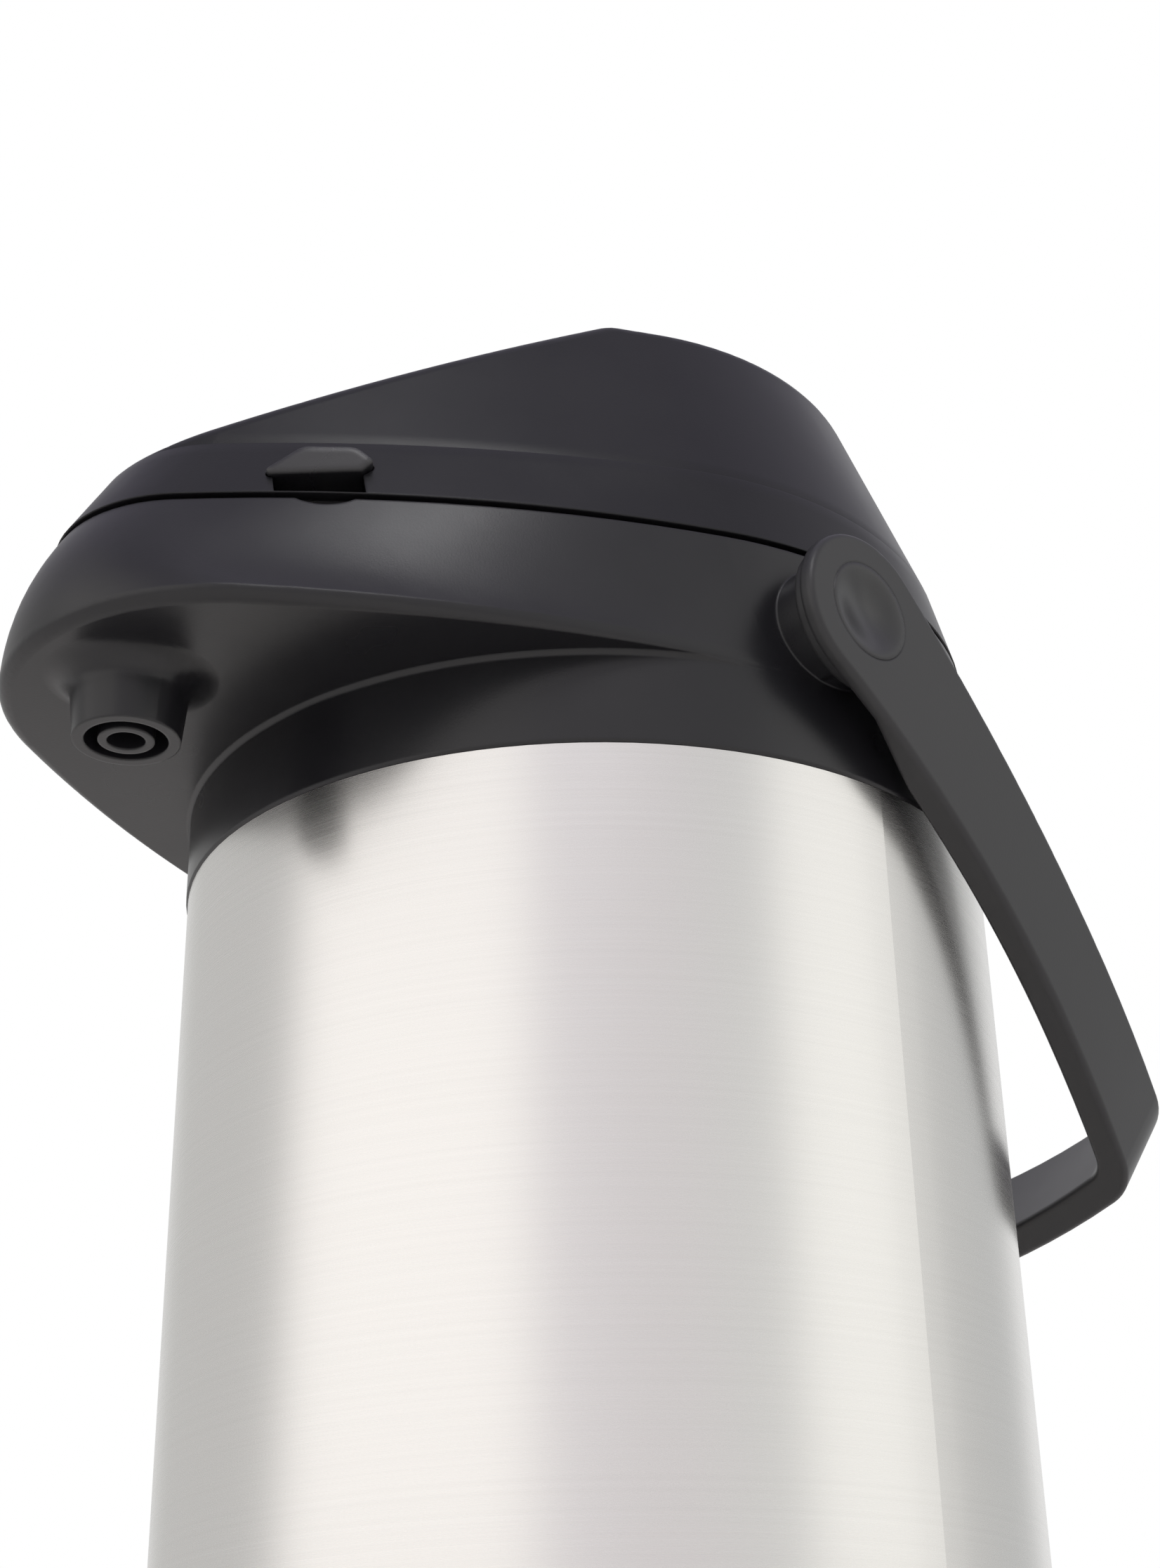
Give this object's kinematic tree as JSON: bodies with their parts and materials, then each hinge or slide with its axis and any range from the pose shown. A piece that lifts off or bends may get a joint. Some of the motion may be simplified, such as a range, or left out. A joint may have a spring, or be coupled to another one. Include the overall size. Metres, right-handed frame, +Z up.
{
  "type": "airpot",
  "caption": "Insulated drink dispenser with a steel body on a turning base, a beaked pump lid with push button, squeeze latches, spout and carry handle.",
  "frame": {"origin": "centre of the underside of the foot mat, on the axis of the steel body", "axes": "+Z up along the body, -Y towards the beak and spout, +X to the side of the right-hand handle pivot"},
  "size_m": [0.183, 0.2361, 0.3896],
  "materials": {
    "black_plastic": "satin moulded, near black",
    "steel_shell": "fine brushed stainless sheet",
    "glass_liner": "silvered glass",
    "rubber": "matte",
    "grey_plastic": "satin food-grade plastic",
    "bright_metal": "bright zinc",
    "pin_plastic": "smooth black"
  },
  "bodies": {
    "turntable": {"foot_mat": "rubber", "turntable": "black_plastic", "glide_ring": "grey_plastic", "pivot_washer": "bright_metal", "pivot_screw": "bright_metal"},
    "pot": {"base_housing": "black_plastic", "outer_shell": "steel_shell", "outer_flask": "glass_liner", "inner_flask": "glass_liner", "flask_cushion": "rubber", "neck_gasket": "rubber", "collar_housing": "black_plastic", "throat_ring": "grey_plastic", "throat_screws": "bright_metal", "spout_pipe": "grey_plastic", "pipe_grommet": "rubber", "dip_tube": "grey_plastic", "tube_seal": "rubber", "nozzle_seal": "rubber", "hinge_pin": "bright_metal"},
    "handle": {"carry_handle": "black_plastic", "handle_pin_right": "pin_plastic", "handle_pin_left": "pin_plastic", "handle_washer_right": "pin_plastic", "handle_washer_left": "pin_plastic", "pin_clip_right": "bright_metal", "pin_clip_left": "bright_metal"},
    "lid": {"lid_shell": "black_plastic", "cover_screws": "bright_metal", "pump_housing": "grey_plastic", "mouth_seal": "rubber", "air_valve": "rubber", "valve_plate": "grey_plastic", "bellows": "rubber", "return_spring": "bright_metal"},
    "button": {"push_plate": "black_plastic", "bellows_clamp": "grey_plastic"},
    "lock": {"lock_slider": "black_plastic"},
    "latch_right": {"latch_right": "black_plastic", "latch_spring_right": "bright_metal"},
    "latch_left": {"latch_left": "black_plastic", "latch_spring_left": "bright_metal"}
  },
  "joints": [
    {"name": "swivel", "type": "hinge", "parent": "turntable", "child": "pot", "pos_m": [0, 0, 0.0095], "axis": [0, 0, 1], "continuous": true},
    {"name": "handle_swing", "type": "hinge", "parent": "pot", "child": "handle", "pos_m": [0, -0.01, 0.3005], "axis": [1, 0, 0], "range_deg": [0, 175]},
    {"name": "lid_hinge", "type": "hinge", "parent": "pot", "child": "lid", "pos_m": [0, 0.0872, 0.312], "axis": [-1, 0, 0], "range_deg": [0, 85]},
    {"name": "pump_press", "type": "slide", "parent": "lid", "child": "button", "axis": [0, 0, -1], "range_m": [0, 0.028], "stiffness_N_per_m": 600, "springref_m": -0.012, "deforming": ["bellows", "return_spring"]},
    {"name": "lock_slide", "type": "slide", "parent": "button", "child": "lock", "axis": [0, -1, 0], "range_m": [-0.007, 0]},
    {"name": "latch_right_press", "type": "slide", "parent": "lid", "child": "latch_right", "axis": [-0.7787, 0.6274, 0], "range_m": [0, 0.003], "stiffness_N_per_m": 400, "springref_m": -0.004},
    {"name": "latch_left_press", "type": "slide", "parent": "lid", "child": "latch_left", "axis": [0.7787, 0.6274, 0], "range_m": [0, 0.003], "stiffness_N_per_m": 400, "springref_m": -0.004}
  ]
}
